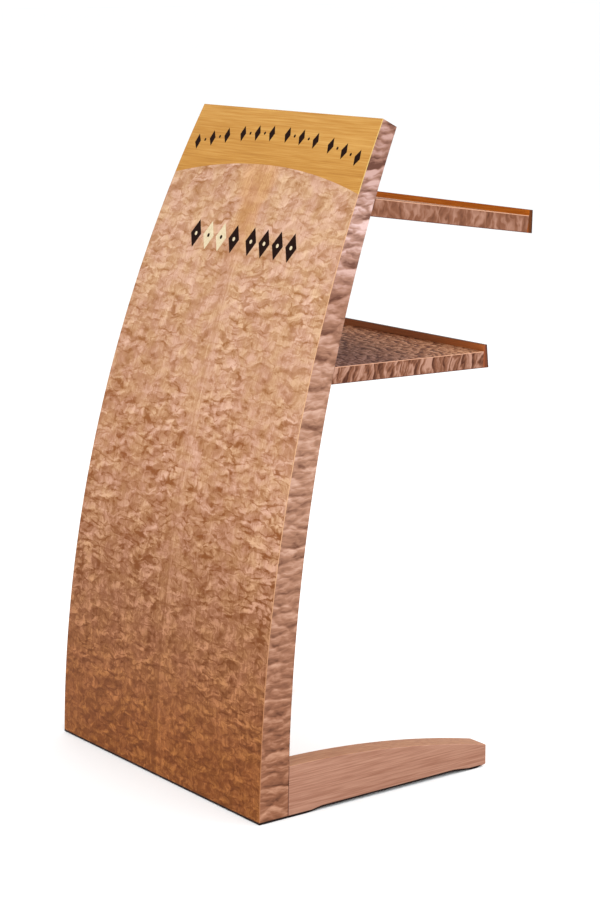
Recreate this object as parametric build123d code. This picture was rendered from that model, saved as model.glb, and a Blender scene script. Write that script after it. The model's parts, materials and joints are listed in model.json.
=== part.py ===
from build123d import *
import math
import os

# A standing prayer lectern: a tall curved panel on two long feet, with two cantilevered
# shelves on its back for the reader. Millimetres. While the pieces are made, X runs across
# the panel, +Y points to the reader and Z = 0 is the underside of the wood, with the
# panel's front bottom edge at Y = 0. The last step moves the origin to the middle of the
# footprint, on the floor.

# ---- Panel: its side view lies between two arcs, its front view between two more ----
FLOOR_WIDTH = 610.0
PANEL_HEIGHT = 1135.0
FRONT_RADIUS = 2548.5
FRONT_CENTRE_HEIGHT = -46.3
BACK_RADIUS = 2623.0
BACK_CENTRE_HEIGHT = -15.3
FLOOR_THICKNESS = 60.2
SIDE_RADIUS = 14647.0
SIDE_CENTRE_HEIGHT = -70.0

# ---- Layers of the panel ----
FACE_VENEER = 1.5
EDGE_VENEER = 1.2
BACK_VENEER = 1.2
SKIN = 6.0
SILL = 5.0
STILE_WIDTH = 46.0
RIB_WIDTH = 22.0
RIB_SPACING = 128.0
ARRIS = 0.6

# ---- Rails inside the panel: name, lowest and highest level ----
RAILS = {
    "bottom_rail": (SILL, 110.0),
    "lower_shelf_rail": (676.0, 772.0),
    "upper_shelf_rail": (944.0, 1040.0),
    "top_rail": (1085.0, 1200.0),
}

# ---- Header band and marquetry ----
ARCH_TOP = 1044.4
ARCH_RADIUS = 1240.0
GARLAND_TOP = 1096.0
GARLAND_RADIUS = 1060.0
GARLAND_GROUPS = 4
GARLAND_PITCH = 20.5
GARLAND_GROUP_PITCH = 127.0
GARLAND_LOZENGE = (16.0, 27.0)
GARLAND_DOT = 2.6
ROW_HEIGHT = 919.0
ROW_LOZENGE = (31.0, 48.0)
ROW_PLACES = (-139.0, -101.0, -63.0, -25.0, 25.0, 63.0, 101.0, 139.0)
ROW_PALE = (1, 2)
ROW_DOT = 3.4

# ---- Shelves ----
SHELF_VENEER = 1.2
LIP_HEIGHT = 40.0
LIP_BOTTOM = 11.7
LIP_TOP = 7.0
LIP_FACING = 2.0
LIP_ROUND = 0.8
SHELVES = {
    "lower": {"half_width": 283.5, "lip_y": 491.6, "level": 734.5, "slope": 1.0, "thick": 28.5},
    "upper": {"half_width": 266.5, "lip_y": 605.3, "level": 957.6, "slope": 8.28, "thick": 29.8},
}

# ---- Hidden steel brackets that carry the shelves: (length, height, thickness) of the plate ----
ROD_RADIUS = 6.0
ROD_REACH = 215.0
ROD_PLACES = (-170.0, 0.0, 170.0)
PLATE_SIZE = (430.0, 44.0, 5.0)
PLATE_SLACK = 1.0
PLATE_SCREWS = (-200.0, -115.0, -45.0, 45.0, 115.0, 200.0)
BRACKET_SCREW_LENGTH = 14.0
CLEARANCE = 0.1

# ---- Feet. Points are (Y, Z); a tenon or a plate is (across, along, high) ----
FOOT_WIDTH = 43.0
FOOT_ROUND = 1.5
FOOT_LENGTH = 492.5
FOOT_TIP_TOP = (492.5, 38.2)
FOOT_ARC_MIDDLE = (297.0, 73.2)
FOOT_ARC_START = (50.0, 88.0)
HEEL_END = 108.0
TOE_START = 455.0
TOE_END = 478.0
RELIEF_NEAR = (130.0, 3.0)
RELIEF_FAR = (418.0, 4.2)
TIP_RISE = 2.6
TENON = (12.0, 95.0, 60.0)
TENON_START = 16.0
TENON_LEVEL = 15.0
FOOT_PLATE = (30.0, 88.0, 4.0)
FOOT_PLATE_START = 14.0
FOOT_SCREWS = ((-10.5, 12.0), (10.5, 30.0), (-10.5, 58.0), (10.5, 76.0))
FOOT_SCREW_LENGTH = 26.0
SCREW_RADIUS = 2.0
SCREW_HEAD = 4.0
SCREW_POINT = 3.0
SCREW_TIP = 0.4
GLIDE = 1.6
GLIDE_INSET = 2.0

# ---- Working values: past every face, and near enough to be on one ----
REACH = 900.0
CLOSE = 0.05

# Every piece by name, as one shape or as a list of separate solids.
nodes = {}


# ---- Shared shapes ----
def centre_of_arc(radius, centre_height, start_y):
    """Centre, in the YZ plane, of a big arc that passes the level of the wood at start_y."""
    return (start_y + math.sqrt(radius**2 - centre_height**2), centre_height)


FRONT_CENTRE = centre_of_arc(FRONT_RADIUS, FRONT_CENTRE_HEIGHT, 0.0)
BACK_CENTRE = centre_of_arc(BACK_RADIUS, BACK_CENTRE_HEIGHT, FLOOR_THICKNESS)
SIDE_CENTRE = centre_of_arc(SIDE_RADIUS, SIDE_CENTRE_HEIGHT, -FLOOR_WIDTH / 2)[0]


def disc(centre, radius):
    return Pos(*centre) * Circle(radius)


def top_corner():
    """Front top corner of the panel, in the YZ plane."""
    rise = PANEL_HEIGHT - FRONT_CENTRE_HEIGHT
    return (FRONT_CENTRE[0] - math.sqrt(FRONT_RADIUS**2 - rise**2), PANEL_HEIGHT)


def window(bottom, top_inset):
    """Everything above bottom and under the panel's top end, which is square to its front."""
    corner = top_corner()
    lean = math.atan2(PANEL_HEIGHT - FRONT_CENTRE_HEIGHT, FRONT_CENTRE[0] - corner[0])
    y = corner[0] - math.sin(lean) * top_inset
    z = corner[1] - math.cos(lean) * top_inset
    across_end = (REACH * math.cos(lean), -REACH * math.sin(lean))
    near = (y - across_end[0], z - across_end[1])
    far = (y + across_end[0], z + across_end[1])
    return Polygon((-REACH, bottom), (REACH, bottom), far, near, align=None)


def layer(front_depth, back_depth, bottom=0.0, top_inset=0.0):
    """Side view of what lies between a depth under the front face and one under the back."""
    section = disc(FRONT_CENTRE, FRONT_RADIUS - front_depth)
    section -= disc(BACK_CENTRE, BACK_RADIUS + back_depth)
    return section & window(bottom, top_inset)


def front_layer(depth, end_depth, bottom=0.0, top_inset=0.0):
    section = disc(FRONT_CENTRE, FRONT_RADIUS - depth)
    section -= disc(FRONT_CENTRE, FRONT_RADIUS - end_depth)
    return section & window(bottom, top_inset)


def back_layer(depth, end_depth, bottom=0.0, top_inset=0.0):
    section = disc(BACK_CENTRE, BACK_RADIUS + end_depth)
    section -= disc(BACK_CENTRE, BACK_RADIUS + depth)
    return section & window(bottom, top_inset)


def outline(inset):
    """Front view of the panel, its sides moved in by inset."""
    right = disc((-SIDE_CENTRE, SIDE_CENTRE_HEIGHT), SIDE_RADIUS - inset)
    left = disc((SIDE_CENTRE, SIDE_CENTRE_HEIGHT), SIDE_RADIUS - inset)
    return right & left & Pos(0, PANEL_HEIGHT / 2) * Rectangle(2 * REACH, 2 * REACH)


def across(section):
    """A side view made solid, from left to right."""
    return extrude(Plane.YZ * section, amount=REACH, both=True)


def through(shape):
    """A front view made solid, from front to back."""
    return extrude(Plane.XZ * shape, amount=REACH, both=True)


def band(low_x, high_x, low_z, high_z):
    return Pos((low_x + high_x) / 2, (low_z + high_z) / 2) * Rectangle(high_x - low_x, high_z - low_z)


def block(low, high):
    middle = [(a + b) / 2 for a, b in zip(low, high)]
    return Pos(*middle) * Box(*[b - a for a, b in zip(low, high)])


def right_half():
    return block((0, -REACH, -REACH), (REACH, REACH, 2 * REACH))


def mirrored(shape):
    return mirror(shape, about=Plane.YZ)


def screw(length, grow=0.0):
    """A countersunk screw, head at Z = 0 and tip at -length."""
    head = Cone(SCREW_RADIUS + grow, SCREW_HEAD + grow, SCREW_HEAD - SCREW_RADIUS,
                align=(Align.CENTER, Align.CENTER, Align.MAX))
    straight = length - SCREW_POINT + grow
    shank = Cylinder(SCREW_RADIUS + grow, straight, align=(Align.CENTER, Align.CENTER, Align.MAX))
    point = Cone(SCREW_TIP + grow, SCREW_RADIUS + grow, SCREW_POINT,
                 align=(Align.CENTER, Align.CENTER, Align.MAX))
    return head + shank + Pos(0, 0, -straight) * point


def eased(shape, radius, test):
    """Rounds every edge whose middle passes the test."""
    chosen = [edge for edge in shape.edges() if test(edge @ 0.5, edge)]
    return fillet(chosen, radius)


def on_arc(point, centre, radius):
    """Whether a point lies on one of the panel's big arcs, seen from the side."""
    return abs(math.hypot(point.Y - centre[0], point.Z - centre[1]) - radius) < CLOSE


def on_side(point):
    """Whether a point lies on the panel's curved left or right side."""
    return abs(math.hypot(abs(point.X) + SIDE_CENTRE, point.Z - SIDE_CENTRE_HEIGHT) - SIDE_RADIUS) < CLOSE


def lozenge(size):
    return Polygon((size[0] / 2, 0), (0, size[1] / 2), (-size[0] / 2, 0), (0, -size[1] / 2))


# ---- Marquetry, as front views ----
def garland():
    """Groups of lozenges and dots along an arc across the header band."""
    shapes = []
    for group in range(GARLAND_GROUPS):
        middle = (group - (GARLAND_GROUPS - 1) / 2) * GARLAND_GROUP_PITCH
        for step in range(-2, 3):
            angle = -math.degrees((middle + step * GARLAND_PITCH) / GARLAND_RADIUS)
            piece = lozenge(GARLAND_LOZENGE) if step % 2 == 0 else Circle(GARLAND_DOT)
            place = Pos(0, GARLAND_TOP - GARLAND_RADIUS) * Rot(0, 0, angle) * Pos(0, GARLAND_RADIUS)
            shapes.append(place * piece)
    return shapes


def row(pale):
    return [Pos(x, ROW_HEIGHT) * lozenge(ROW_LOZENGE)
            for place, x in enumerate(ROW_PLACES) if (place in ROW_PALE) == pale]


def row_dots(on_pale):
    return [Pos(x, ROW_HEIGHT) * Circle(ROW_DOT)
            for place, x in enumerate(ROW_PLACES) if (place in ROW_PALE) == on_pale]


def inlay(shapes, holes=()):
    """Pieces let right through the face veneer."""
    face = across(front_layer(0, FACE_VENEER))
    pieces = []
    for shape in shapes:
        piece = through(shape) & face
        for hole in holes:
            piece -= through(hole)
        pieces.extend(piece.solids())
    return pieces


# ---- Panel ----
def face_veneers():
    face = across(front_layer(0, FACE_VENEER))
    arch = disc((0, ARCH_TOP - ARCH_RADIUS), ARCH_RADIUS)
    leaves = face & through(outline(0) & arch)
    left, right = leaves - right_half(), leaves & right_half()
    top = face & through(outline(0) - arch)
    for shape in row(False) + row(True):
        left -= through(shape)
        right -= through(shape)
    for shape in garland():
        top -= through(shape)
    def arris(point, edge):
        """The outer edge down each side, and the header's top edge."""
        at_top = abs(point.Z - PANEL_HEIGHT) < CLOSE
        return on_arc(point, FRONT_CENTRE, FRONT_RADIUS) and (on_side(point) or at_top)

    nodes["face_leaf_left"] = eased(left, ARRIS, arris)
    nodes["face_leaf_right"] = eased(right, ARRIS, arris)
    nodes["header_band"] = eased(top, ARRIS, arris)
    nodes["garland_inlay"] = inlay(garland())
    nodes["row_inlay_dark"] = inlay(row(False), row_dots(False)) + inlay(row_dots(True))
    nodes["row_inlay_pale"] = inlay(row(True), row_dots(True)) + inlay(row_dots(False))


def skins():
    inside = through(outline(EDGE_VENEER))
    nodes["front_skin"] = across(
        front_layer(FACE_VENEER, FACE_VENEER + SKIN, SILL, EDGE_VENEER)) & inside
    nodes["back_skin"] = across(
        back_layer(BACK_VENEER, BACK_VENEER + SKIN, SILL, EDGE_VENEER)) & inside
    back = across(back_layer(0, BACK_VENEER, 0, EDGE_VENEER)) & inside
    nodes["back_leaf_left"] = back - right_half()
    nodes["back_leaf_right"] = back & right_half()


def edges():
    rim = outline(0) - outline(EDGE_VENEER)
    sides = across(layer(FACE_VENEER, 0)) & through(rim)

    def arris(point, edge):
        """The long outer edge beside the panel's back."""
        return on_arc(point, BACK_CENTRE, BACK_RADIUS) and on_side(point) and edge.length > STILE_WIDTH

    nodes["edge_veneer_left"] = eased(sides - right_half(), ARRIS, arris)
    nodes["edge_veneer_right"] = eased(sides & right_half(), ARRIS, arris)
    cap = layer(FACE_VENEER, 0) - window(-REACH, EDGE_VENEER)
    nodes["top_edge_veneer"] = across(cap) & through(outline(EDGE_VENEER))
    sill = layer(FACE_VENEER, BACK_VENEER) & Pos(0, SILL / 2) * Rectangle(REACH, SILL)
    nodes["sill"] = across(sill) & through(outline(EDGE_VENEER))


def core():
    """Stiles, rails and ribs, all sawn to the curve of the two skins."""
    body = across(layer(FACE_VENEER + SKIN, BACK_VENEER + SKIN, SILL, EDGE_VENEER))
    frame = outline(EDGE_VENEER) - outline(EDGE_VENEER + STILE_WIDTH)
    stiles = body & through(frame)
    nodes["stile_left"] = stiles - right_half()
    nodes["stile_right"] = stiles & right_half()
    middle = outline(EDGE_VENEER + STILE_WIDTH)
    levels = list(RAILS.values())
    for name, (low, high) in RAILS.items():
        nodes[name] = body & through(middle & band(-REACH, REACH, low, high))
    for bay, (under, over) in enumerate(zip(levels, levels[1:-1])):
        for name, x in (("left", -RIB_SPACING), ("middle", 0.0), ("right", RIB_SPACING)):
            rib = band(x - RIB_WIDTH / 2, x + RIB_WIDTH / 2, under[1], over[0])
            nodes[("lower", "upper")[bay] + "_rib_" + name] = body & through(rib)


# ---- Shelves ----
def tilted(shelf, sketch):
    """A shelf's own side view, with its origin where the top meets the lip."""
    return Pos(shelf["lip_y"], shelf["level"]) * Rot(0, 0, -shelf["slope"]) * sketch


def slab(shelf, high, low, inset=0.0):
    """The shelf between two depths under its top, scribed to the panel's back."""
    sketch = tilted(shelf, Pos(-REACH / 2, -(high + low) / 2) * Rectangle(REACH, low - high))
    half = shelf["half_width"] - inset
    return extrude(Plane.YZ * (sketch & disc(BACK_CENTRE, BACK_RADIUS)), amount=half, both=True)


def skinned(shelf, high, low, face):
    """A shelf's top or bottom veneer, its two outer edges eased. face is its outer depth."""
    slope = math.radians(shelf["slope"])

    def arris(point, edge):
        down = (shelf["level"] - point.Z) * math.cos(slope) - (point.Y - shelf["lip_y"]) * math.sin(slope)
        at_side = abs(abs(point.X) - shelf["half_width"]) < CLOSE
        return at_side and abs(down - face) < CLOSE and edge.length > SHELF_VENEER * 2

    return eased(slab(shelf, high, low), ARRIS, arris)


def rod_line(shelf):
    """Where the middle of the shelf meets the panel's back, and the way along the shelf."""
    slope = math.radians(shelf["slope"])
    along = (math.cos(slope), -math.sin(slope))
    middle = (shelf["lip_y"] - math.sin(slope) * shelf["thick"] / 2,
              shelf["level"] - math.cos(slope) * shelf["thick"] / 2)
    offset = (middle[0] - BACK_CENTRE[0], middle[1] - BACK_CENTRE[1])
    half = offset[0] * along[0] + offset[1] * along[1]
    back = -half - math.sqrt(half**2 - offset[0]**2 - offset[1]**2 + BACK_RADIUS**2)
    return (middle[0] + back * along[0], middle[1] + back * along[1]), along


def bracket(name, shelf):
    """A steel plate let into the rail, with three rods welded on at the shelf's slope."""
    meeting, along = rod_line(shelf)
    outward = [(c - m) / BACK_RADIUS for c, m in zip(BACK_CENTRE, meeting)]
    depth = BACK_VENEER + SKIN + 2 * CLEARANCE
    seat = Plane(origin=(0, meeting[0] - outward[0] * depth, meeting[1] - outward[1] * depth),
                 x_dir=(1, 0, 0), z_dir=(0, outward[0], outward[1]))
    hang = (Align.CENTER, Align.CENTER, Align.MAX)
    plate = seat * Box(*PLATE_SIZE, align=hang)
    housing = (PLATE_SIZE[0] + PLATE_SLACK, PLATE_SIZE[1] + PLATE_SLACK,
               PLATE_SIZE[2] + depth + CLEARANCE)
    pocket = seat * Pos(0, 0, depth) * Box(*housing, align=hang)
    rods, bores = [], []
    start = depth + PLATE_SIZE[2] / 2
    for x in ROD_PLACES:
        line = Plane(origin=(x, meeting[0] - along[0] * start, meeting[1] - along[1] * start),
                     x_dir=(1, 0, 0), z_dir=(0, along[0], along[1]))
        stand = (Align.CENTER, Align.CENTER, Align.MIN)
        rods.append(line * Cylinder(ROD_RADIUS, start + ROD_REACH, align=stand))
        bores.append(line * Cylinder(ROD_RADIUS + CLEARANCE, start + ROD_REACH + 1, align=stand))
    for rod in rods:
        plate += rod
    screws, holes = [], []
    for x in PLATE_SCREWS:
        screws.append(seat * Pos(x, 0, 0) * screw(BRACKET_SCREW_LENGTH))
        holes.append(seat * Pos(x, 0, 0) * screw(BRACKET_SCREW_LENGTH, CLEARANCE))
    for hole in holes:
        plate -= hole
    rail = name + "_shelf_rail"
    nodes[rail] -= pocket
    for hole in holes:
        nodes[rail] -= hole
    for bore in bores:
        for cut in ("back_skin", "back_leaf_left", "back_leaf_right", name + "_shelf_core"):
            nodes[cut] -= bore
    nodes[name + "_shelf_bracket"] = plate
    nodes[name + "_bracket_screws"] = screws


def lip(shelf):
    """The tapered lip across the reader's end, in two layers: orange wood and a dark facing."""
    low, high = -shelf["thick"], LIP_HEIGHT - shelf["thick"]
    whole = Polygon((0, low), (LIP_BOTTOM, low), (LIP_TOP, high), (0, high), align=None)
    rounded = [corner for corner in whole.vertices() if corner.Y > high - CLOSE or corner.X > LIP_TOP]
    whole = fillet(rounded, LIP_ROUND)
    inner = Polygon((0, low), (LIP_BOTTOM - LIP_FACING, low), (LIP_TOP - LIP_FACING, high),
                    (0, high), align=None)
    return [extrude(Plane.YZ * tilted(shelf, sketch), amount=shelf["half_width"], both=True)
            for sketch in (whole & inner, whole - inner)]


def shelves():
    for name, shelf in SHELVES.items():
        thick = shelf["thick"]
        nodes[name + "_shelf_top"] = skinned(shelf, 0, SHELF_VENEER, 0)
        nodes[name + "_shelf_bottom"] = skinned(shelf, thick - SHELF_VENEER, thick, thick)
        body = slab(shelf, SHELF_VENEER, thick - SHELF_VENEER)
        core_body = slab(shelf, SHELF_VENEER, thick - SHELF_VENEER, SHELF_VENEER)
        rim = body - core_body
        nodes[name + "_shelf_core"] = core_body
        nodes[name + "_shelf_edge_left"] = rim - right_half()
        nodes[name + "_shelf_edge_right"] = rim & right_half()
        nodes[name + "_lip"], nodes[name + "_lip_facing"] = lip(shelf)
        bracket(name, shelf)


# ---- Feet ----
def foot_profile():
    """Side view: an arched top, a heel and a toe that touch, and a relieved underside."""
    top = ThreePointArc(FOOT_ARC_START, FOOT_ARC_MIDDLE, FOOT_TIP_TOP)
    under = Polyline(FOOT_TIP_TOP, (FOOT_LENGTH, TIP_RISE), (TOE_END, 0), (TOE_START, 0),
                     RELIEF_FAR, RELIEF_NEAR, (HEEL_END, 0), (FOOT_ARC_START[0], 0),
                     FOOT_ARC_START)
    return make_face(top + under) & disc(BACK_CENTRE, BACK_RADIUS)


def feet():
    outer = FLOOR_WIDTH / 2
    middle = outer - FOOT_WIDTH / 2
    foot = extrude(Plane.YZ * foot_profile(), amount=FOOT_WIDTH)
    foot = Pos(outer - FOOT_WIDTH, 0, 0) * foot
    foot = eased(foot, FOOT_ROUND, lambda point, edge: point.Y > TOE_END or edge.length > 400)
    tenon_low = (middle - TENON[0] / 2, TENON_START, TENON_LEVEL)
    tenon = block(tenon_low, [a + b for a, b in zip(tenon_low, TENON)])
    plate_low = (middle - FOOT_PLATE[0] / 2, FOOT_PLATE_START, 0.0)
    plate = block(plate_low, [a + b for a, b in zip(plate_low, FOOT_PLATE)])
    screws, holes = [], []
    for x, y in FOOT_SCREWS:
        place = Pos(middle + x, FOOT_PLATE_START + y, 0) * Rot(180, 0, 0)
        screws.append(place * screw(FOOT_SCREW_LENGTH))
        holes.append(place * screw(FOOT_SCREW_LENGTH, CLEARANCE))
    foot -= tenon
    foot -= plate
    for cut in ("stile_right", "back_leaf_right"):
        nodes[cut] -= tenon + plate
    for cut in ("stile_left", "back_leaf_left"):
        nodes[cut] -= mirrored(tenon + plate)
    for cut in ("back_skin", "sill"):
        nodes[cut] = nodes[cut] - tenon - plate - mirrored(tenon + plate)
    for hole in holes:
        foot -= hole
        plate -= hole
        nodes["stile_right"] -= hole
        nodes["stile_left"] -= mirrored(hole)
        nodes["sill"] = nodes["sill"] - hole - mirrored(hole)
    nodes["foot_right"], nodes["foot_left"] = foot, mirrored(foot)
    nodes["foot_tenons"] = [tenon, mirrored(tenon)]
    nodes["foot_plates"] = [plate, mirrored(plate)]
    nodes["foot_plate_screws"] = screws + [mirrored(s) for s in screws]


def glides():
    inner, outer = FLOOR_WIDTH / 2 - FOOT_WIDTH + GLIDE_INSET, FLOOR_WIDTH / 2 - GLIDE_INSET
    strip = block((-outer, GLIDE_INSET, -GLIDE), (outer, FLOOR_THICKNESS - GLIDE_INSET, 0))
    heel = block((inner, FLOOR_THICKNESS, -GLIDE), (outer, HEEL_END - GLIDE_INSET, 0))
    toe = block((inner, TOE_START + GLIDE_INSET, -GLIDE), (outer, TOE_END - GLIDE_INSET, 0))
    nodes["front_glide"] = strip
    nodes["heel_glides"] = [heel, mirrored(heel)]
    nodes["toe_glides"] = [toe, mirrored(toe)]


def main():
    face_veneers()
    skins()
    edges()
    core()
    shelves()
    feet()
    glides()
    solids = {name: list(shape) if isinstance(shape, list) else shape.solids()
              for name, shape in nodes.items()}
    whole = Compound([piece for group in solids.values() for piece in group]).bounding_box()
    to_frame = Pos(0, -(whole.min.Y + whole.max.Y) / 2, -whole.min.Z)
    os.makedirs("parts", exist_ok=True)
    for name, group in solids.items():
        moved = [to_frame * piece for piece in group]
        export_step(moved[0] if len(moved) == 1 else Compound(moved), "parts/" + name + ".step")
    print("size", whole.size, "shift", to_frame.position, "nodes", len(solids))


main()
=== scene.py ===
import json
import math

import bpy
from mathutils import Matrix, Vector


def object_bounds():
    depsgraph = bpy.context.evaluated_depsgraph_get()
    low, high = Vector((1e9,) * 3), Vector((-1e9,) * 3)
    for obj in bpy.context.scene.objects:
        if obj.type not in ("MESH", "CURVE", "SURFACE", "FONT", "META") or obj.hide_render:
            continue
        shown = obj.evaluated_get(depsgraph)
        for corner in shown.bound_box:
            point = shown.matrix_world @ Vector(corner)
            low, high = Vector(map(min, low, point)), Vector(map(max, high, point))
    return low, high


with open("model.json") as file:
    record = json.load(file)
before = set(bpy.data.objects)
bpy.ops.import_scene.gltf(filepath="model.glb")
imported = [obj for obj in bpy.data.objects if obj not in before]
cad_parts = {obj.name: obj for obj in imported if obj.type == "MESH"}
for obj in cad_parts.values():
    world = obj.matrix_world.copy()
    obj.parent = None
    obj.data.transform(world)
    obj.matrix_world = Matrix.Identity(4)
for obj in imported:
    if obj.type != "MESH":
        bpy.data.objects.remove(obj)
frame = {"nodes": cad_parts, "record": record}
cad_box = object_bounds()

MM = 0.001
X_AXIS, Y_AXIS, Z_AXIS = 0, 1, 2

# ---- Camera, in the frame's metres and degrees ----
CAMERA_PLACE = (3.2902, -2.46605, 1.3885)
CAMERA_AZIMUTH = 53.081
CAMERA_DOWN = 11.651
CAMERA_LENS = 94.94
CAMERA_SENSOR = 36.0

# ---- The panel's curved front, seen from the side ----
PANEL_FOOT = cad_box[0][1]
PANEL_RADIUS = 2548.5 * MM
PANEL_CENTRE_HEIGHT = -44.7 * MM
PANEL_THICKNESS = 60.2 * MM

# ---- The foot's underside, as (y, z) corners behind the panel's front ----
FOOT_RELIEF = [(PANEL_FOOT + y * MM, z * MM)
               for y, z in ((108, 0), (130, 3.0), (418, 4.2), (455, 0), (478, 0), (492.5, -4.0))]


# ---- Node helpers ----
def node(tree, kind, inputs=None, **settings):
    """A new node. Each input is a constant or the socket that feeds it."""
    made = tree.nodes.new(kind)
    for name, value in settings.items():
        setattr(made, name, value)
    for name, value in (inputs or {}).items():
        if isinstance(value, bpy.types.NodeSocket):
            tree.links.new(value, made.inputs[name])
        else:
            made.inputs[name].default_value = value
    return made


def calc(tree, operation, a, b=0.0, c=0.0):
    return node(tree, "ShaderNodeMath", {0: a, 1: b, 2: c}, operation=operation).outputs[0]


def vector(tree, operation, a, b):
    return node(tree, "ShaderNodeVectorMath", {0: a, 1: b}, operation=operation).outputs[0]


def combine(tree, x, y, z=0.0):
    return node(tree, "ShaderNodeCombineXYZ", {0: x, 1: y, 2: z}).outputs[0]


def split(tree, value):
    return node(tree, "ShaderNodeSeparateXYZ", {0: value}).outputs


def noise(tree, at, detail=2.0, roughness=0.5, output=0, dimensions="2D"):
    inputs = {"Vector": at, "Scale": 1.0, "Detail": detail, "Roughness": roughness}
    return node(tree, "ShaderNodeTexNoise", inputs, noise_dimensions=dimensions).outputs[output]


def remap(tree, value, low, high, to_low=0.0, to_high=1.0):
    """value eased from the range low to high into the range to_low to to_high."""
    inputs = {"Value": value, "From Min": low, "From Max": high, "To Min": to_low,
              "To Max": to_high}
    return node(tree, "ShaderNodeMapRange", inputs, interpolation_type="SMOOTHSTEP").outputs[0]


def ramp(tree, value, stops):
    """A colour ramp. stops are (place, (red, green, blue))."""
    made = node(tree, "ShaderNodeValToRGB", {0: value})
    marks = made.color_ramp.elements
    for place, colour in stops[2:]:
        marks.new(place)
    for mark, (place, colour) in zip(marks, stops):
        mark.position = place
    for mark, (place, colour) in zip(marks, stops):
        mark.color = (*colour, 1.0)
    return made.outputs[0]


def blend(tree, factor, a, b, mode="MIX"):
    """Colour a at factor 0 and b at factor 1, which are the Mix node's sockets 6 and 7."""
    made = node(tree, "ShaderNodeMix", {0: factor}, data_type="RGBA", blend_type=mode)
    for socket, value in ((6, a), (7, b)):
        if isinstance(value, bpy.types.NodeSocket):
            tree.links.new(value, made.inputs[socket])
        else:
            made.inputs[socket].default_value = (*value, 1.0)
    return made.outputs[2]


def tinted(tree, factor, colour, tint):
    """colour times tint, where factor is 1."""
    return blend(tree, factor, colour, tint, mode="MULTIPLY")


def srgb(red, green, blue):
    """A colour given as 0 to 255 display values, as the linear values that shaders take."""
    def linear(value):
        value /= 255.0
        return value / 12.92 if value <= 0.04045 else ((value + 0.055) / 1.055) ** 2.4
    return (linear(red), linear(green), linear(blue))


def new_material(name, roughness, specular=0.2):
    material = bpy.data.materials.new(name)
    material.use_nodes = True
    shader = material.node_tree.nodes["Principled BSDF"]
    shader.inputs["Roughness"].default_value = roughness
    shader.inputs["Specular IOR Level"].default_value = specular
    return material, material.node_tree, shader


def object_coordinates(tree):
    return node(tree, "ShaderNodeTexCoord").outputs["Object"]


def panel_depth(tree, at):
    """How far a point is behind the panel's front face."""
    _, y, z = split(tree, at)
    rise = calc(tree, "SUBTRACT", z, PANEL_CENTRE_HEIGHT)
    reach = calc(tree, "SUBTRACT", PANEL_RADIUS ** 2, calc(tree, "MULTIPLY", rise, rise))
    front = calc(tree, "SUBTRACT", PANEL_FOOT + PANEL_RADIUS, calc(tree, "SQRT", reach))
    return calc(tree, "SUBTRACT", y, front)


# ---- Quilted figure ----
LAYER_SHIFT = (3.7, 1.9)
LAYER_SCALES = (0.5, 1.0, 2.3)
DRIFT_SCALE = 0.45
SWIRL_SCALE = 0.8
SWIRL = 0.5
HAIR_BEND = 0.4


def scaled(tree, at, x, y):
    """Plane coordinates times x and y."""
    return vector(tree, "MULTIPLY", at, (x, y, 0))


def layer_at(tree, at, scale):
    """Plane coordinates for one layer of the figure, shifted so that layers don't line up."""
    shift = (scale * LAYER_SHIFT[0], scale * LAYER_SHIFT[1], 0)
    return node(tree, "ShaderNodeVectorMath", {0: at, 1: (scale, scale, 0), 2: shift},
                operation="MULTIPLY_ADD").outputs[0]


def pillow_layer(tree, at, scale, softness):
    """One layer of pillows: a point's offset from its pillow's middle, and the pillow's colour."""
    shifted = layer_at(tree, at, scale)
    cells = node(tree, "ShaderNodeTexVoronoi",
                 {"Vector": shifted, "Scale": 1.0, "Smoothness": softness, "Randomness": 1.0},
                 feature="SMOOTH_F1", voronoi_dimensions="2D")
    offset = vector(tree, "SUBTRACT", shifted, cells.outputs["Position"])
    return offset, cells.outputs["Color"]


def crease_layer(tree, at, scale, width, kept):
    """Short creases between pillows: 1 in a crease, 0 away from it. Only some edges have one.

    kept is the range of a slow noise over which creases appear.
    """
    shifted = layer_at(tree, at, scale)
    cells = node(tree, "ShaderNodeTexVoronoi", {"Vector": shifted, "Scale": 1.0, "Randomness": 1.0},
                 feature="DISTANCE_TO_EDGE", voronoi_dimensions="2D")
    line = remap(tree, cells.outputs["Distance"], 0.0, width, 1.0, 0.0)
    broken = noise(tree, scaled(tree, shifted, 0.9, 0.9))
    return calc(tree, "MULTIPLY", line, remap(tree, broken, *kept))


def fleck_layer(tree, at, scale, low, high, kept):
    """Dark flecks in the hollows where three pillows meet: 1 in a fleck.

    A fleck starts at low from a pillow's middle and is full at high. kept is the range of a
    slow noise over which flecks appear.
    """
    shifted = layer_at(tree, at, scale)
    cells = node(tree, "ShaderNodeTexVoronoi", {"Vector": shifted, "Scale": 1.0, "Randomness": 1.0},
                 feature="F1", voronoi_dimensions="2D")
    hollow = remap(tree, cells.outputs["Distance"], low, high)
    broken = noise(tree, scaled(tree, shifted, 0.7, 0.7))
    return calc(tree, "MULTIPLY", hollow, remap(tree, broken, *kept))


def centred(tree, value, strength, base):
    """base moved by strength times how far value is from its middle, 0.5."""
    return calc(tree, "MULTIPLY_ADD", calc(tree, "SUBTRACT", value, 0.5), strength, base)


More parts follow.
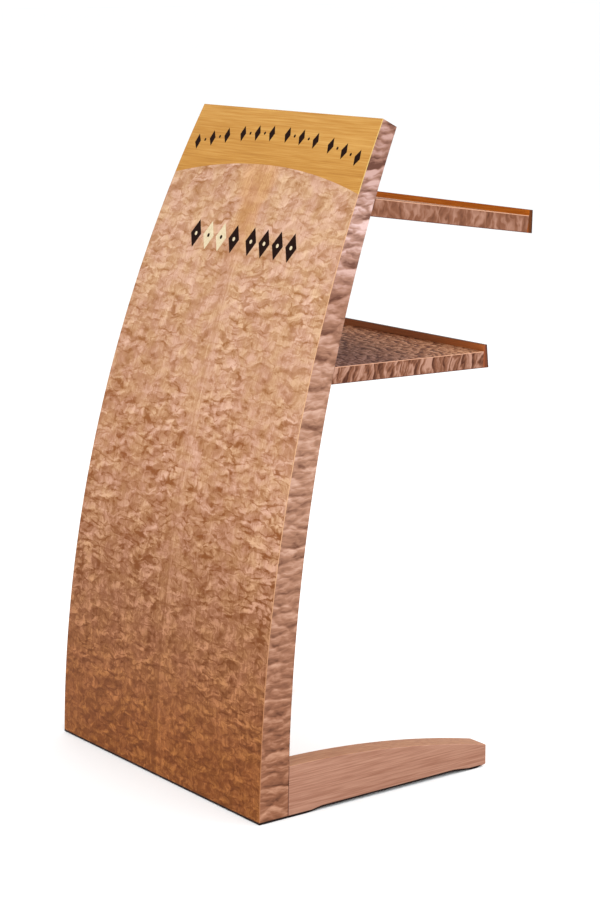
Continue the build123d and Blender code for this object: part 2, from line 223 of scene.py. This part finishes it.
def quilt(tree, across, along, width, height, warp=(1.5, 1.6), weights=(0.45, 0.75, 0.4),
          lit_along=1.0, lit_across=0.0, softness=0.4, strands=(4.4, 1.1)):
    """Quilted figure whose pillows are width by height, across and along the grain.

    tone is about 0 in a pillow's dark crease and 1 on its lit side. patch changes from
    pillow to pillow. hair is fine straight grain that bends round the pillows. warped is
    where the figure is looked up, for layers that are to follow it.
    """
    at = combine(tree, calc(tree, "MULTIPLY", across, 1 / width),
                 calc(tree, "MULTIPLY", along, 1 / height))
    drift = noise(tree, scaled(tree, at, DRIFT_SCALE, DRIFT_SCALE), detail=3.0, roughness=0.6,
                  output=1)
    drift = scaled(tree, vector(tree, "SUBTRACT", drift, (0.5, 0.5, 0.5)), *warp)
    warped = vector(tree, "ADD", at, drift)
    tone = 0.5
    for scale, weight in zip(LAYER_SCALES, weights):
        offset, colour = pillow_layer(tree, warped, scale, softness)
        aside, up, _ = split(tree, offset)
        slope = calc(tree, "ADD", calc(tree, "MULTIPLY", up, lit_along),
                     calc(tree, "MULTIPLY", aside, lit_across))
        tone = calc(tree, "MULTIPLY_ADD", slope, weight, tone)
        if scale == 1.0:
            bend, patch = up, split(tree, colour)[0]
    swirl = noise(tree, scaled(tree, warped, SWIRL_SCALE, SWIRL_SCALE), detail=1.0)
    warped_x, warped_y, _ = split(tree, warped)
    bent = calc(tree, "MULTIPLY_ADD", bend, HAIR_BEND, centred(tree, swirl, SWIRL, warped_x))
    hair = noise(tree, combine(tree, calc(tree, "MULTIPLY", bent, strands[0]),
                               calc(tree, "MULTIPLY", warped_y, strands[1])),
                 detail=3.0, roughness=0.7)
    return tone, patch, hair, warped


# ---- Colours. Three tones run from a dark crease to a lit slope ----
FACE_LOW = (srgb(86, 41, 4), srgb(105, 55, 16), srgb(150, 93, 46))
FACE_MIDDLE = (srgb(116, 64, 25), srgb(147, 103, 73), srgb(185, 147, 122))
FACE_HIGH = (srgb(136, 90, 54), srgb(160, 120, 91), srgb(193, 159, 134))
EDGE_LOW = (srgb(80, 45, 28), srgb(129, 84, 60), srgb(174, 130, 104))
EDGE_HIGH = (srgb(98, 62, 46), srgb(151, 112, 90), srgb(190, 156, 138))
SHELF_EDGE = (srgb(68, 33, 18), srgb(114, 71, 50), srgb(156, 116, 98))
SHELF_TONES = (srgb(84, 46, 32), srgb(142, 96, 70), srgb(181, 139, 113))
HEADER_TONES = (srgb(137, 88, 29), srgb(162, 112, 44), srgb(183, 138, 71))
HEADER_ARRIS = srgb(190, 158, 96)
# The face veneer's pale side edge: partly its own paler edge, partly a painted highlight
PALE_ARRIS_LOW = srgb(150, 100, 66)
PALE_ARRIS = srgb(184, 142, 108)
DARK_ARRIS = srgb(70, 40, 34)
SHELF_TOP_ARRIS = srgb(186, 140, 114)
SHELF_BOTTOM_ARRIS = srgb(84, 46, 36)
# Painted shade: the dark band along the bottom of each piece, in place of the shadow gap at the
# floor
PAINTED_CONTACT_SHADE = srgb(26, 12, 8)

# ---- Tints, which multiply a colour ----
FIGURE_HUES = ((0.35, (1.0, 0.97, 1.04)), (0.65, (1.0, 1.0, 0.90)))
FAN_TINT = (1.0, 0.92, 0.72)
EDGE_SHADES = ((0.0, (0.95, 0.92, 0.92)), (0.46, (0.77, 0.68, 0.68)),
               (0.82, (1.06, 1.13, 1.38)), (1.0, (0.72, 0.66, 0.73)))
BACK_LINE_TINT = (0.5, 0.42, 0.45)
SHELF_PAINTED_LIGHT_TINTS = ((0.0, (0.56, 0.54, 0.67)), (1.0, (1.16, 1.07, 0.90)))
LIP_INNER_END_TINT = (0.52, 0.42, 0.5)
# Painted highlight on the foot's rounded top arris
FOOT_ARRIS_HIGHLIGHT = (1.1, 1.17, 1.3)

# ---- Levels that a change runs between, in metres above the floor ----
FACE_LOW_TO_MIDDLE = (0.05, 0.60)
FACE_MIDDLE_TO_HIGH = (0.50, 0.95)
FACE_CALM_AT_FLOOR = (0.08, 0.25)
FACE_BOLD_TO_FINE = (0.45, 0.65)
FACE_HAIR_FADES = (0.25, 0.60)
RIGHT_LEAF_DARKER = (0.35, 0.60)
SEAM_FADES = (0.25, 0.55)
SEAM_WIDENS = (0.84, 1.03)
FAN_RISES = (0.84, 0.97)
EDGE_LOW_TO_HIGH = (0.05, 0.65)
EDGE_BROADENS = (0.55, 0.85)
EDGE_SHADED = (0.62, 1.10)
EDGE_BOLDER = (0.88, 1.00)
ARRIS_LIGHTENS = (0.05, 0.60)
HEADER_LIGHTENS = (0.99, 1.12)

# ---- Sizes and weights of the figure ----
LEAF_PILLOW = (24 * MM, 14 * MM)
LEAF_GROUND = 0.665
LEAF_FLECK_STRETCH = (0.62, 1.25)
LEAF_FLECKS = ((1.1, 0.5, 0.7, 0.42), (2.1, 0.5, 0.72, 0.45))
STRAIGHT_GRAIN = (3 * MM, 45 * MM)
SEAM_REACH = 60 * MM
EDGE_PILLOW = (27 * MM, 15 * MM)
EDGE_CREASE = -0.12
BACK_LINE = (PANEL_THICKNESS - 3.2 * MM, PANEL_THICKNESS - 1.8 * MM)
SHELF_PILLOW = (14 * MM, 12 * MM)
SHELF_EDGE_BAND_HEIGHT = 28 * MM
SHELF_PAINTED_LIGHT_SPAN = (-0.08, 0.19)
LIP_END_LIGHT_SPAN = (0.10, 0.28)
HEADER_LINES = (9, 0, 420)
HEADER_BANDS = (1.2, 0, 70)
HEADER_HALF = 0.25


def three_tones(tree, tone, colours):
    return ramp(tree, tone, list(zip((0.0, 0.5, 1.0), colours)))


def faces(tree, axis, upward=False, start=0.5):
    """1 on faces that look along an axis, either way or only upward; it starts at start."""
    normal = split(tree, node(tree, "ShaderNodeTexCoord").outputs["Normal"])[axis]
    if not upward:
        normal = calc(tree, "ABSOLUTE", normal)
    return remap(tree, normal, start, start + 0.3)


def painted_contact_shade(tree, z, colour, rise=4.2 * MM, fade=0.8 * MM):
    """A dark line of painted shade where the piece meets the floor, standing in for the shadow gap
    under it.
    """
    return blend(tree, remap(tree, z, rise, rise + fade), PAINTED_CONTACT_SHADE, colour)


# ---- Quilted veneers ----
def outside_seam(tree, across, side, z, spot):
    """0 in the calm strip along the centre seam, which widens under the arch, and 1 outside it."""
    ragged = noise(tree, scaled(tree, spot, 0, 9), detail=3.0)
    reach = remap(tree, ragged, 0.3, 0.7, 3 * MM, 26 * MM)
    reach = calc(tree, "ADD", reach, remap(tree, z, *SEAM_WIDENS, 0.0, 24 * MM))
    reach = calc(tree, "MULTIPLY", reach, remap(tree, side, -1.0, 1.0, 1.5, 0.8))
    return remap(tree, calc(tree, "DIVIDE", across, reach), 0.5, 1.5)


def figure_strength(tree, figured, z, spot):
    """How bold the leaves' figure is: uneven, weak by the seam, boldest below the middle."""
    calm = noise(tree, scaled(tree, spot, 9, 9))
    strength = calc(tree, "MULTIPLY", remap(tree, calm, 0.3, 0.7, 0.5, 1.0),
                    remap(tree, figured, 0.0, 1.0, 0.35, 1.0))
    strength = calc(tree, "MULTIPLY", strength, remap(tree, z, *FACE_CALM_AT_FLOOR, 0.85, 1.2))
    return calc(tree, "MULTIPLY", strength, remap(tree, z, *FACE_BOLD_TO_FINE, 1.0, 0.8))


def leaf_tone(tree, across, side, z, spot, figured):
    """The leaves' figure as one tone, with the two leaves a little apart along the seam."""
    tone, patch, hair, warped = quilt(tree, across, z, *LEAF_PILLOW, weights=(0.3, 0.45, 0.2),
                                      lit_along=-0.8, lit_across=calc(tree, "MULTIPLY", side, 0.5),
                                      softness=0.8, strands=(3.4, 0.8))
    strength = figure_strength(tree, figured, z, spot)
    tone = centred(tree, tone, strength, LEAF_GROUND)
    flat = scaled(tree, warped, *LEAF_FLECK_STRETCH)
    for scale, low, high, depth in LEAF_FLECKS:
        fleck = fleck_layer(tree, flat, scale, low, high, kept=(0.3, 0.55))
        tone = calc(tree, "MULTIPLY_ADD", calc(tree, "MULTIPLY", fleck, strength), -depth, tone)
    tone = centred(tree, hair, remap(tree, z, *FACE_HAIR_FADES, 1.2, 0.6), tone)
    straight = noise(tree, scaled(tree, spot, 1 / STRAIGHT_GRAIN[0], 1 / STRAIGHT_GRAIN[1]),
                     detail=3.0, roughness=0.65)
    tone = centred(tree, straight, remap(tree, figured, 0.0, 1.0, 0.6, 0.4), tone)
    tone = centred(tree, patch, 0.15, tone)
    cloud = noise(tree, scaled(tree, spot, 5, 4), detail=3.0, roughness=0.6)
    tone = centred(tree, cloud, 0.36, tone)
    seam_shade = calc(tree, "MULTIPLY_ADD", remap(tree, across, 0.0, SEAM_REACH, 1.0, 0.0),
                      remap(tree, z, *SEAM_FADES, 0.11, 0.02), 0.03)
    tone = calc(tree, "MULTIPLY_ADD", side, seam_shade, tone)
    return calc(tree, "MULTIPLY_ADD", remap(tree, side, -1.0, 1.0),
                remap(tree, z, *RIGHT_LEAF_DARKER, -0.055, 0.0), tone)


def quilted_leaves(name, edge_colour):
    """Book-matched leaves: the figure runs from the centre seam both ways.

    They are darker and more orange toward the floor: partly the veneer's own tone, partly
    painted shade for the lower face, which leans up less toward the light. edge_colour gives
    the colour of their sides.
    """
    material, tree, shader = new_material(name, 0.5, specular=0.1)
    x, _, z = split(tree, object_coordinates(tree))
    across = calc(tree, "ABSOLUTE", x)
    side = calc(tree, "SIGN", x)
    spot = combine(tree, x, z)
    figured = outside_seam(tree, across, side, z, spot)
    tone = leaf_tone(tree, across, side, z, spot, figured)
    colour = blend(tree, remap(tree, z, *FACE_LOW_TO_MIDDLE), three_tones(tree, tone, FACE_LOW),
                   three_tones(tree, tone, FACE_MIDDLE))
    colour = blend(tree, remap(tree, z, *FACE_MIDDLE_TO_HIGH), colour,
                   three_tones(tree, tone, FACE_HIGH))
    hue = noise(tree, scaled(tree, spot, 24, 30))
    colour = tinted(tree, 1.0, colour, ramp(tree, hue, FIGURE_HUES))
    fan = calc(tree, "MULTIPLY", remap(tree, figured, 0.0, 1.0, 1.0, 0.0),
               remap(tree, z, *FAN_RISES))
    colour = tinted(tree, fan, colour, FAN_TINT)
    colour = blend(tree, faces(tree, X_AXIS), colour, edge_colour(tree, z))
    tree.links.new(painted_contact_shade(tree, z, colour), shader.inputs["Base Color"])
    return material


# Partly the veneer's own paler edge, partly a painted highlight where the arris catches light;
# darker toward the floor like the face
def pale_arris(tree, z):
    return blend(tree, remap(tree, z, *ARRIS_LIGHTENS), PALE_ARRIS_LOW, PALE_ARRIS)


def dark_arris(tree, z):
    return DARK_ARRIS


def quilted_edge():
    """Panel edges: wide pillows stacked up the edge, lit from above."""
    material, tree, shader = new_material("quilted_edge", 0.5, specular=0.1)
    at = object_coordinates(tree)
    z = split(tree, at)[Z_AXIS]
    depth = panel_depth(tree, at)
    broad = remap(tree, z, *EDGE_BROADENS, 0.15, 0.5)
    tone, patch, hair, warped = quilt(tree, depth, z, *EDGE_PILLOW, warp=(1.2, 1.0),
                                      weights=(broad, 0.55, 0.25), lit_across=0.2,
                                      softness=0.75, strands=(1.4, 5.0))
    crease = crease_layer(tree, warped, 1.0, 0.35, kept=(0.35, 0.7))
    tone = calc(tree, "MULTIPLY_ADD", crease, EDGE_CREASE, tone)
    tone = centred(tree, tone, remap(tree, z, *EDGE_BOLDER, 1.0, 1.6), 0.5)
    tone = centred(tree, hair, 0.5, tone)
    tone = centred(tree, patch, 0.25, tone)
    colour = blend(tree, remap(tree, z, *EDGE_LOW_TO_HIGH), three_tones(tree, tone, EDGE_LOW),
                   three_tones(tree, tone, EDGE_HIGH))
    colour = tinted(tree, 1.0, colour, ramp(tree, remap(tree, z, *EDGE_SHADED), EDGE_SHADES))
    colour = tinted(tree, remap(tree, depth, *BACK_LINE), colour, BACK_LINE_TINT)
    tree.links.new(painted_contact_shade(tree, z, colour), shader.inputs["Base Color"])
    return material


def shelf_edge(name, contrast, softness, band, lean):
    """Shelf edges: upright bands along the edge, which lean backward by lean."""
    material, tree, shader = new_material(name, 0.5, specular=0.1)
    _, y, z = split(tree, object_coordinates(tree))
    slanted = calc(tree, "MULTIPLY_ADD", z, -lean, y)
    tone, patch, hair, _ = quilt(tree, z, slanted, SHELF_EDGE_BAND_HEIGHT, band, warp=(1.4, 2.0),
                                 lit_across=0.4, weights=(0.3, 0.8, 0.4), softness=softness,
                                 strands=(1.0, 6.0))
    tone = centred(tree, patch, 0.3, tone)
    tone = centred(tree, tone, contrast, 0.5)
    tone = centred(tree, hair, 0.35, tone)
    tree.links.new(three_tones(tree, tone, SHELF_EDGE), shader.inputs["Base Color"])
    return material


def shelf_skin(name, side_colour):
    """Shelf tops and undersides: fine ripples, with painted shade darker and purpler near the
    panel, and painted light and reflection from the lip, warmer and paler toward it.
    """
    material, tree, shader = new_material(name, 0.6, specular=0.04)
    x, y, _ = split(tree, object_coordinates(tree))
    tone, patch, _, _ = quilt(tree, x, y, *SHELF_PILLOW, weights=(0.2, 0.9, 0.5), lit_across=0.5)
    tone = centred(tree, patch, 0.35, tone)
    cloud = noise(tree, scaled(tree, combine(tree, x, y), 9, 9))
    tone = centred(tree, cloud, 0.5, tone)
    # Painted shade near the panel, painted light and reflection of the lip toward the lip
    tint = ramp(tree, remap(tree, y, *SHELF_PAINTED_LIGHT_SPAN), SHELF_PAINTED_LIGHT_TINTS)
    colour = tinted(tree, 1.0, three_tones(tree, tone, SHELF_TONES), tint)
    colour = blend(tree, faces(tree, X_AXIS), colour, side_colour)
    tree.links.new(colour, shader.inputs["Base Color"])
    return material


# ---- Straight-grained woods ----
def straight_wood(name, dark, light, along, roughness=0.5, specular=0.1, across_mm=2.0,
                  along_mm=90.0, end_tint=None, end_from=0.0, top_tint=None, painted_end_light=None,
                  foot=None):
    """Straight-grained wood, its grain along one row axis.

    top_tint multiplies the colour of faces that look up, and end_tint of those that look
    sideways, from a few mm behind end_from. The tint given for the ends multiplies it toward
    the piece's left and right ends, as painted light there and painted shade between them,
    where the panel shades the middle. foot is a line of the underside, as (y, z) pairs.
    """
    material, tree, shader = new_material(name, roughness, specular)
    scales = [1 / (along_mm * MM) if axis == along else 1 / (across_mm * MM)
              for axis in (X_AXIS, Y_AXIS, Z_AXIS)]
    at = object_coordinates(tree)
    x, y, z = split(tree, at)
    grain = noise(tree, vector(tree, "MULTIPLY", at, tuple(scales)), detail=4.0, roughness=0.6,
                  dimensions="3D")
    colour = blend(tree, remap(tree, grain, 0.3, 0.7), dark, light)
    if painted_end_light:
        # Painted light toward the open ends; the middle, behind the panel, keeps painted shade
        outward = remap(tree, calc(tree, "ABSOLUTE", x), *LIP_END_LIGHT_SPAN)
        colour = tinted(tree, outward, colour, painted_end_light)
    if top_tint:
        colour = tinted(tree, faces(tree, Z_AXIS, upward=True), colour, top_tint)
    if end_tint:
        behind = remap(tree, y, end_from + 2 * MM, end_from + 4 * MM)
        outer = blend(tree, behind, LIP_INNER_END_TINT, end_tint)
        colour = tinted(tree, faces(tree, X_AXIS), colour, outer)
    if foot:
        # Painted highlight: the foot's rounded top arris is painted paler and bluer, as where it
        # catches light
        arris = calc(tree, "MULTIPLY", faces(tree, X_AXIS, start=0.1),
                     faces(tree, Z_AXIS, upward=True, start=0.1))
        colour = tinted(tree, arris, colour, FOOT_ARRIS_HIGHLIGHT)
        z = calc(tree, "SUBTRACT", z, foot_relief(tree, y, foot))
    tree.links.new(painted_contact_shade(tree, z, colour), shader.inputs["Base Color"])
    return material


def foot_relief(tree, y, profile):
    """How far the foot's underside is above its heel and toe, from its (y, z) corners."""
    level = 0.0
    for (y0, z0), (y1, z1) in zip(profile, profile[1:]):
        climb = node(tree, "ShaderNodeMapRange", {"Value": y, "From Min": y0, "From Max": y1,
                                                  "To Min": 0.0, "To Max": z1 - z0}).outputs[0]
        level = calc(tree, "ADD", climb, level)
    return level


def satinwood():
    """The header: fine level lines in broad level bands, paler upward and to the right."""
    material, tree, shader = new_material("satinwood", 0.45, specular=0.12)
    at = object_coordinates(tree)
    x, _, z = split(tree, at)
    lines = noise(tree, vector(tree, "MULTIPLY", at, HEADER_LINES), detail=3.0, roughness=0.6,
                  dimensions="3D")
    bands = noise(tree, vector(tree, "MULTIPLY", at, HEADER_BANDS), dimensions="3D")
    lit = calc(tree, "ADD", remap(tree, z, *HEADER_LIGHTENS, 0.42, 0.64),
               remap(tree, x, -HEADER_HALF, HEADER_HALF, -0.05, 0.09))
    tone = centred(tree, bands, 0.55, centred(tree, lines, 1.45, lit))
    colour = blend(tree, faces(tree, X_AXIS), three_tones(tree, tone, HEADER_TONES), HEADER_ARRIS)
    tree.links.new(colour, shader.inputs["Base Color"])
    return material


def front_of(name):
    """Where a piece starts, along +Y."""
    return min(corner[1] for corner in frame["nodes"][name].bound_box)


# ---- Materials by slot ----
def make_materials():
    return {
        "quilted_face": quilted_leaves("quilted_face", pale_arris),
        "quilted_back": quilted_leaves("quilted_back", dark_arris),
        "quilted_edge": quilted_edge(),
        "lower_shelf_edge": shelf_edge("lower_shelf_edge", contrast=1.0, softness=0.5,
                                       band=14 * MM, lean=0.35),
        "upper_shelf_edge": shelf_edge("upper_shelf_edge", contrast=0.65, softness=0.9,
                                       band=19 * MM, lean=0.1),
        "shelf_top": shelf_skin("shelf_top", SHELF_TOP_ARRIS),
        "shelf_bottom": shelf_skin("shelf_bottom", SHELF_BOTTOM_ARRIS),
        "satinwood": satinwood(),
        "ebony": straight_wood("ebony", srgb(22, 8, 4), srgb(30, 14, 9), Z_AXIS, specular=0.02),
        "holly": straight_wood("holly", srgb(178, 160, 128), srgb(196, 180, 150), Z_AXIS),
        "upper_lip": straight_wood("upper_lip", srgb(160, 80, 16), srgb(188, 108, 33), X_AXIS,
                                   specular=0.05, end_tint=(0.2, 0.2, 0.5),
                                   end_from=front_of("upper_lip"), top_tint=(0.3, 0.3, 0.5)),
        # The lower lip is the upper lip's wood painted darker and browner: painted shade from the
        # panel and the shelf above
        "lower_lip": straight_wood("lower_lip", srgb(138, 82, 50), srgb(156, 96, 60), X_AXIS,
                                   specular=0.05, end_tint=(0.3, 0.28, 0.45),
                                   end_from=front_of("lower_lip"), top_tint=(0.3, 0.3, 0.45),
                                   painted_end_light=(1.4, 1.25, 0.9)),
        "lip_dark": straight_wood("lip_dark", srgb(44, 20, 14), srgb(70, 36, 24), X_AXIS,
                                  specular=0.05),
        # The foot's up-facing top is painted lighter and warmer than its sides: painted light
        "foot_wood": straight_wood("foot_wood", srgb(134, 90, 71), srgb(161, 119, 99), Y_AXIS,
                                   top_tint=(1.16, 1.06, 0.78), foot=FOOT_RELIEF),
        "core_wood": straight_wood("core_wood", srgb(200, 170, 125), srgb(220, 195, 150), Z_AXIS),
        "skin_ply": straight_wood("skin_ply", srgb(190, 155, 110), srgb(215, 185, 140), X_AXIS),
        "steel": straight_wood("steel", srgb(130, 132, 136), srgb(160, 162, 166), X_AXIS),
        "felt": straight_wood("felt", srgb(30, 24, 22), srgb(44, 36, 32), X_AXIS, roughness=0.95),
    }


def finish_of(part):
    """The material's name for a piece: its slot, or a finer choice by its node's name."""
    name = part["node"]
    if name.startswith("back_leaf"):
        return "quilted_back"
    if "_shelf_edge_" in name:
        return name.split("_")[0] + "_shelf_edge"
    if name.endswith("_shelf_top"):
        return "shelf_top"
    if name.endswith("_shelf_bottom"):
        return "shelf_bottom"
    if name.endswith("_lip"):
        return name
    return part["material_slot"]


def dress_nodes():
    made = make_materials()
    for part in frame["record"]["subparts"]:
        mesh = frame["nodes"][part["node"]].data
        mesh.materials.clear()
        mesh.materials.append(made[finish_of(part)])


# ---- Stage ----
WORLD_COLOUR = (0.967, 0.99, 1.0, 1)
WORLD_STRENGTH = 1.15
FLOOR_COLOUR = (0.90, 0.90, 0.90, 1)
FLOOR_REACH = 60.0

# ---- Lights: name, place, target, diameter, power ----
LIGHTS = (("front", (-0.8, -4.4, 1.7), (0, -0.2, 0.6), 1.6, 85),
          ("right_fill", (3.6, -1.4, 1.9), (0, 0, 0.6), 1.8, 60),
          ("back_fill", (1.6, 3.6, 2.8), (0.2, 0.5, 0), 2.5, 110))


def build_stage():
    scene = bpy.context.scene
    world = bpy.data.worlds.new("studio")
    scene.world = world
    world.use_nodes = True
    background = world.node_tree.nodes["Background"]
    background.inputs["Color"].default_value = WORLD_COLOUR
    background.inputs["Strength"].default_value = WORLD_STRENGTH
    corners = [(x * FLOOR_REACH, y * FLOOR_REACH, 0)
               for x, y in ((-1, -1), (1, -1), (1, 1), (-1, 1))]
    mesh = bpy.data.meshes.new("floor")
    mesh.from_pydata(corners, [], [(0, 1, 2, 3)])
    floor = bpy.data.objects.new("floor", mesh)
    scene.collection.objects.link(floor)
    material, _, shader = new_material("floor", 0.9, specular=0.1)
    shader.inputs["Base Color"].default_value = FLOOR_COLOUR
    mesh.materials.append(material)
    scene.view_settings.view_transform = "Standard"
    scene.view_settings.look = "None"


def soft_light(name, place, target, size, power):
    data = bpy.data.lights.new(name, "AREA")
    data.shape = "DISK"
    data.size = size
    data.energy = power
    light = bpy.data.objects.new(name, data)
    light.location = place
    light.rotation_euler = (Vector(target) - Vector(place)).to_track_quat("-Z", "Y").to_euler()
    bpy.context.scene.collection.objects.link(light)


def place_camera():
    data = bpy.data.cameras.new("camera")
    data.lens = CAMERA_LENS
    data.sensor_width = CAMERA_SENSOR
    camera = bpy.data.objects.new("camera", data)
    azimuth, down = math.radians(CAMERA_AZIMUTH), math.radians(CAMERA_DOWN)
    level = math.cos(down)
    back = Vector((math.sin(azimuth) * level, -math.cos(azimuth) * level, math.sin(down)))
    right = Vector((math.cos(azimuth), math.sin(azimuth), 0))
    turn = Matrix((right, back.cross(right), back)).transposed().to_4x4()
    camera.matrix_world = Matrix.Translation(CAMERA_PLACE) @ turn
    bpy.context.scene.collection.objects.link(camera)
    bpy.context.scene.camera = camera


place_camera()
build_stage()
dress_nodes()
for light in LIGHTS:
    soft_light(*light)
